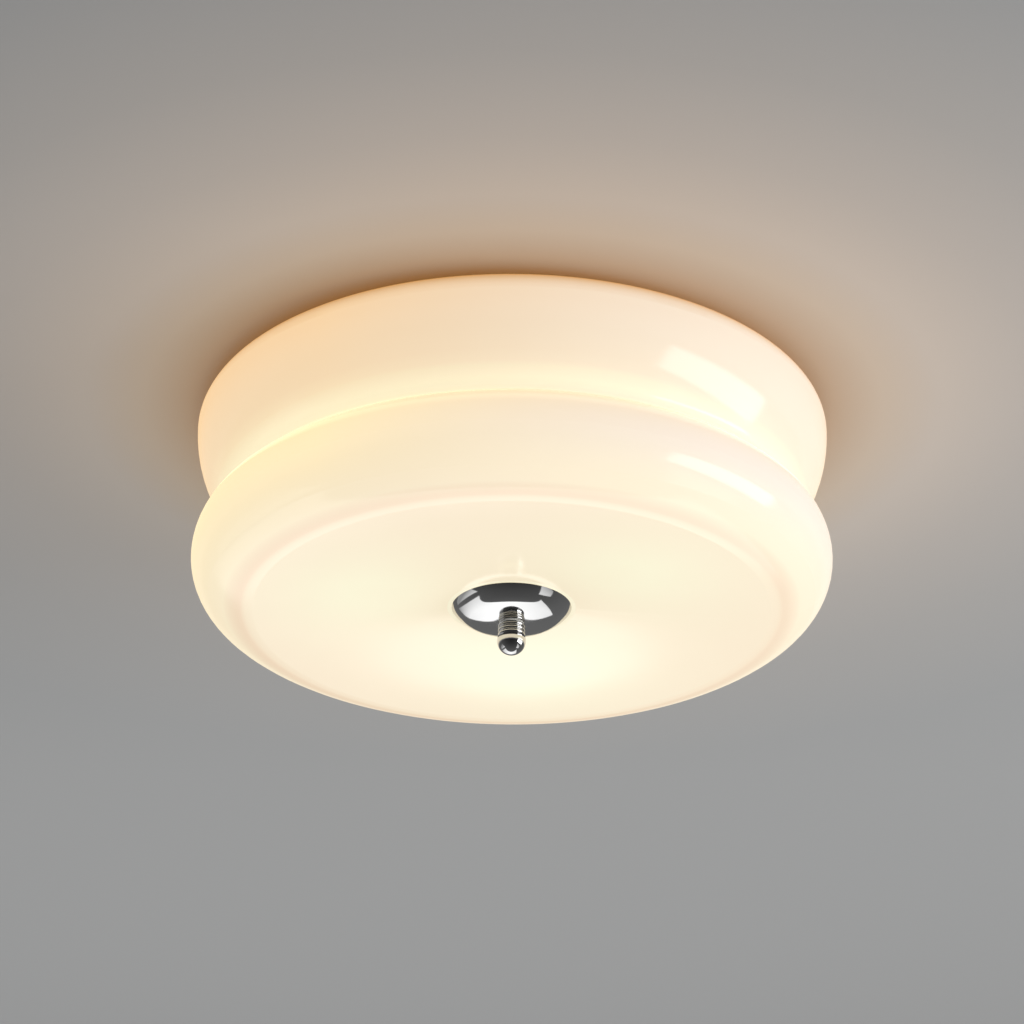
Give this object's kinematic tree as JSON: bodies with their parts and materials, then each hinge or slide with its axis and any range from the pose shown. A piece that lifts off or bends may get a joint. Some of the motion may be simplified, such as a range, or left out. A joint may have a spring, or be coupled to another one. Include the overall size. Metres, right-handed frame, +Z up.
{
  "type": "flush mount ceiling light",
  "caption": "Flush ceiling light: double-bulge opal glass shade clamped on a centre rod by a domed chrome cap and ball finial, with lampholders and bulbs inside.",
  "frame": {"origin": "on the ceiling plane, at the axis of the centre rod and the middle of the mounting strap", "axes": "+Z up into the ceiling, the light hangs towards -Z; +X along the mounting strap; the pictured side faces -Y"},
  "size_m": [0.3999, 0.4, 0.1629],
  "materials": {
    "opal_glass": "blown opal glass, gloss outside, lit warm from within",
    "chrome": "polished chrome plate",
    "zinc_steel": "zinc-plated steel",
    "white_enamel": "white powder coat",
    "rubber_white": "silicone rubber",
    "rubber_black": "moulded rubber",
    "nylon_white": "natural nylon",
    "lead_sheath": "white silicone sheath",
    "earth_sheath": "green sheath with a yellow stripe",
    "tinned_brass": "tinned brass",
    "brass_green": "brass screw",
    "porcelain": "glazed porcelain",
    "brass": "drawn brass and phosphor bronze",
    "bulb_contact": "dark insulator with a soldered end contact",
    "bulb_cap_metal": "rolled nickel-plated shell",
    "bulb_plastic": "moulded white plastic",
    "led_board": "white-masked aluminium board",
    "bulb_diffuser": "opal diffuser, lit warm"
  },
  "bodies": {
    "ceiling_frame": {"mounting_strap": "zinc_steel", "centre_rod": "zinc_steel", "lock_nut": "zinc_steel", "pan_washer": "zinc_steel", "pan_nut": "zinc_steel", "holder_bracket_1": "zinc_steel", "holder_bracket_2": "zinc_steel", "holder_bracket_3": "zinc_steel", "bracket_screws": "zinc_steel", "holder_screws": "zinc_steel", "block_screw": "zinc_steel", "stop_nut": "zinc_steel", "stop_washer": "zinc_steel", "terminal_screws": "zinc_steel", "ceiling_pan": "white_enamel", "lead_bushes": "rubber_black", "terminal_block": "nylon_white", "holder_lead_1": "lead_sheath", "holder_lead_2": "lead_sheath", "holder_lead_3": "lead_sheath", "earth_lead": "earth_sheath", "earth_tag": "tinned_brass", "terminal_live": "tinned_brass", "terminal_neutral": "tinned_brass", "terminal_earth": "tinned_brass", "earth_screw": "brass_green", "lampholder_body_1": "porcelain", "lampholder_shell_1": "brass", "contact_leaf_1": "brass", "lampholder_body_2": "porcelain", "lampholder_shell_2": "brass", "contact_leaf_2": "brass", "lampholder_body_3": "porcelain", "lampholder_shell_3": "brass", "contact_leaf_3": "brass"},
    "shade": {"glass_shade": "opal_glass", "shade_bush": "rubber_white"},
    "cap": {"dome_cap": "chrome", "cap_gasket": "rubber_white"},
    "washer": {"finial_washer": "nylon_white"},
    "finial_body": {"finial": "chrome"},
    "bulb_tip_1": {"bulb_contact_1": "bulb_contact"},
    "bulb_1": {"bulb_cap_1": "bulb_cap_metal", "bulb_collar_1": "bulb_plastic", "led_board_1": "led_board", "bulb_globe_1": "bulb_diffuser"},
    "bulb_tip_2": {"bulb_contact_2": "bulb_contact"},
    "bulb_2": {"bulb_cap_2": "bulb_cap_metal", "bulb_collar_2": "bulb_plastic", "led_board_2": "led_board", "bulb_globe_2": "bulb_diffuser"},
    "bulb_tip_3": {"bulb_contact_3": "bulb_contact"},
    "bulb_3": {"bulb_cap_3": "bulb_cap_metal", "bulb_collar_3": "bulb_plastic", "led_board_3": "led_board", "bulb_globe_3": "bulb_diffuser"}
  },
  "joints": [
    {"name": "shade_lowers", "type": "slide", "parent": "ceiling_frame", "child": "shade", "axis": [0, 0, -1], "range_m": [0, 0.16]},
    {"name": "cap_lowers", "type": "slide", "parent": "shade", "child": "cap", "axis": [0, 0, -1], "range_m": [0, 0.03]},
    {"name": "finial_travel", "type": "slide", "parent": "cap", "child": "washer", "axis": [0, 0, -1], "range_m": [0, 0.008]},
    {"name": "finial_unscrews", "type": "hinge", "parent": "washer", "child": "finial_body", "pos_m": [0, 0, -0.15], "axis": [0, 0, -1], "range_deg": [0, 2880]},
    {"name": "bulb_1_travel", "type": "slide", "parent": "ceiling_frame", "child": "bulb_tip_1", "axis": [0.7547, -0.6561, 0], "range_m": [0, 0.0127]},
    {"name": "bulb_1_unscrews", "type": "hinge", "parent": "bulb_tip_1", "child": "bulb_1", "pos_m": [0.04528, -0.03936, -0.066], "axis": [0.7547, -0.6561, 0], "range_deg": [0, 1260]},
    {"name": "bulb_2_travel", "type": "slide", "parent": "ceiling_frame", "child": "bulb_tip_2", "axis": [0.1908, 0.9816, 0], "range_m": [0, 0.0127]},
    {"name": "bulb_2_unscrews", "type": "hinge", "parent": "bulb_tip_2", "child": "bulb_2", "pos_m": [0.01145, 0.0589, -0.066], "axis": [0.1908, 0.9816, 0], "range_deg": [0, 1260]},
    {"name": "bulb_3_travel", "type": "slide", "parent": "ceiling_frame", "child": "bulb_tip_3", "axis": [-0.9455, -0.3256, 0], "range_m": [0, 0.0127]},
    {"name": "bulb_3_unscrews", "type": "hinge", "parent": "bulb_tip_3", "child": "bulb_3", "pos_m": [-0.05673, -0.01953, -0.066], "axis": [-0.9455, -0.3256, 0], "range_deg": [0, 1260]}
  ],
  "couplings": [
    {"joint": "finial_travel", "follows": "finial_unscrews", "m_per_rad": 0.00015915},
    {"joint": "bulb_1_travel", "follows": "bulb_1_unscrews", "m_per_rad": 0.00057757},
    {"joint": "bulb_2_travel", "follows": "bulb_2_unscrews", "m_per_rad": 0.00057757},
    {"joint": "bulb_3_travel", "follows": "bulb_3_unscrews", "m_per_rad": 0.00057757}
  ]
}
